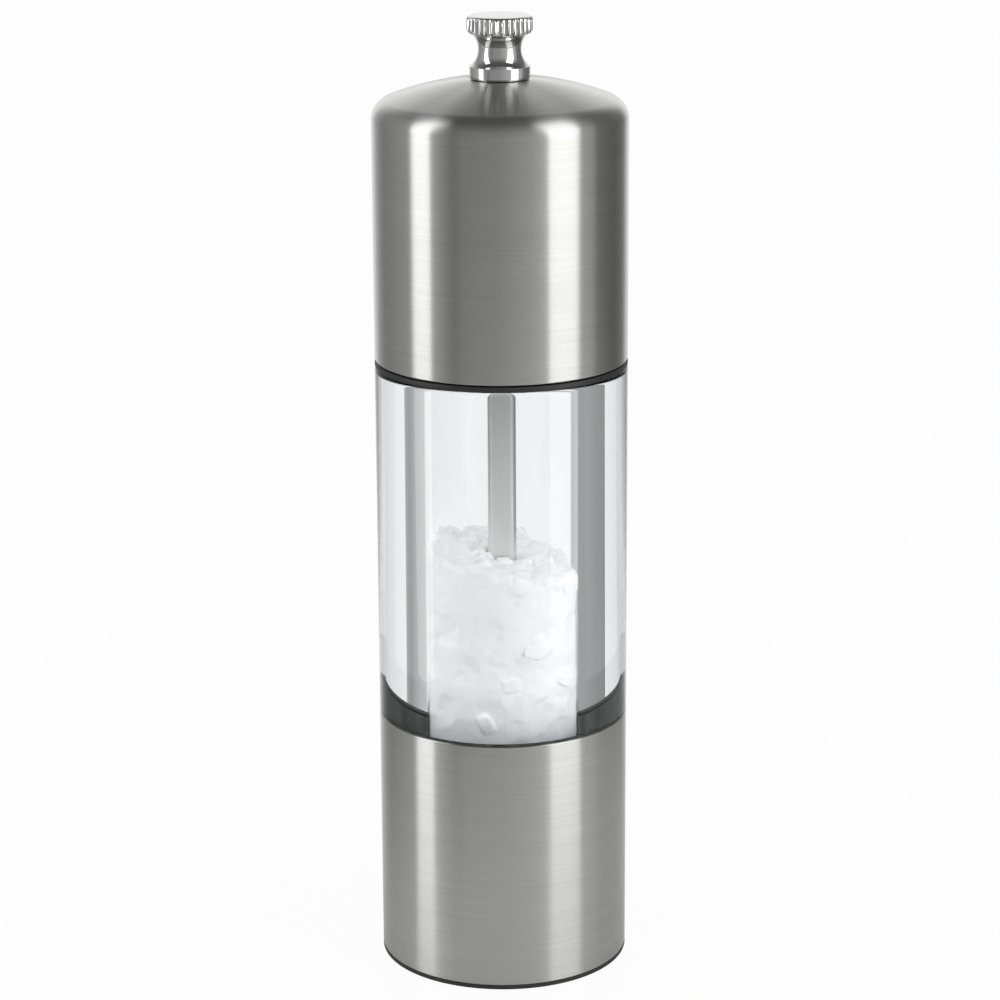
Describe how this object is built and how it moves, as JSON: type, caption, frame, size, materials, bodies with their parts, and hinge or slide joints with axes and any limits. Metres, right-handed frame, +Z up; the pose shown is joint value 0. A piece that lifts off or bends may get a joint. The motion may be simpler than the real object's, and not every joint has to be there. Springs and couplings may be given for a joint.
{
  "type": "salt and pepper mill",
  "caption": "Tall hand mill: a domed steel head turns a square shaft through a clear chamber to conical burrs in a steel base, with a knurled knob to set the grind.",
  "frame": {"origin": "on the mill's axis, in the plane of the foot", "axes": "+Z up along the mill's axis; -Y faces the viewer"},
  "size_m": [0.05, 0.05, 0.1918],
  "materials": {
    "brushed_steel": "brushed around the axis",
    "black_plastic": "satin",
    "clear_acrylic": "polished, clear",
    "salt": "coarse white crystals",
    "burr_ceramic": "unglazed",
    "plated_steel": "zinc plated",
    "pale_nylon": "moulded",
    "shaft_aluminium": "drawn, satin",
    "knob_chrome": "polished"
  },
  "bodies": {
    "body": {"base_shell": "brushed_steel", "base_liner": "black_plastic", "burr_carrier": "black_plastic", "chamber": "clear_acrylic", "salt_charge": "salt", "neck_ring": "black_plastic", "outer_burr": "burr_ceramic", "burr_plate": "plated_steel", "plate_screws": "plated_steel", "shaft_spider": "pale_nylon", "spider_screws": "plated_steel"},
    "bush": {"drive_bush": "pale_nylon", "bush_clip": "plated_steel", "spring_washer": "plated_steel"},
    "shaft": {"drive_shaft": "shaft_aluminium", "inner_burr": "burr_ceramic", "burr_spring": "plated_steel", "burr_washer": "plated_steel", "shaft_screw": "plated_steel"},
    "head": {"head_shell": "brushed_steel", "head_collar": "black_plastic", "head_core": "black_plastic", "knob_washer": "black_plastic"},
    "knob": {"knob": "knob_chrome"}
  },
  "joints": [
    {"name": "head_turn", "type": "hinge", "parent": "body", "child": "bush", "pos_m": [0, 0, 0], "axis": [0, 0, 1], "continuous": true},
    {"name": "grind_adjust", "type": "slide", "parent": "bush", "child": "shaft", "axis": [0, 0, 1], "range_m": [-0.0006, 0.0006], "deforming": ["burr_spring"]},
    {"name": "head_lift", "type": "slide", "parent": "bush", "child": "head", "axis": [0, 0, 1], "range_m": [0, 0.07]},
    {"name": "knob_turn", "type": "hinge", "parent": "head", "child": "knob", "pos_m": [0, 0, 0.1796], "axis": [0, 0, 1], "range_deg": [-270, 270]}
  ],
  "couplings": [
    {"joint": "knob_turn", "follows": "grind_adjust", "rad_per_m": -7853.9}
  ]
}
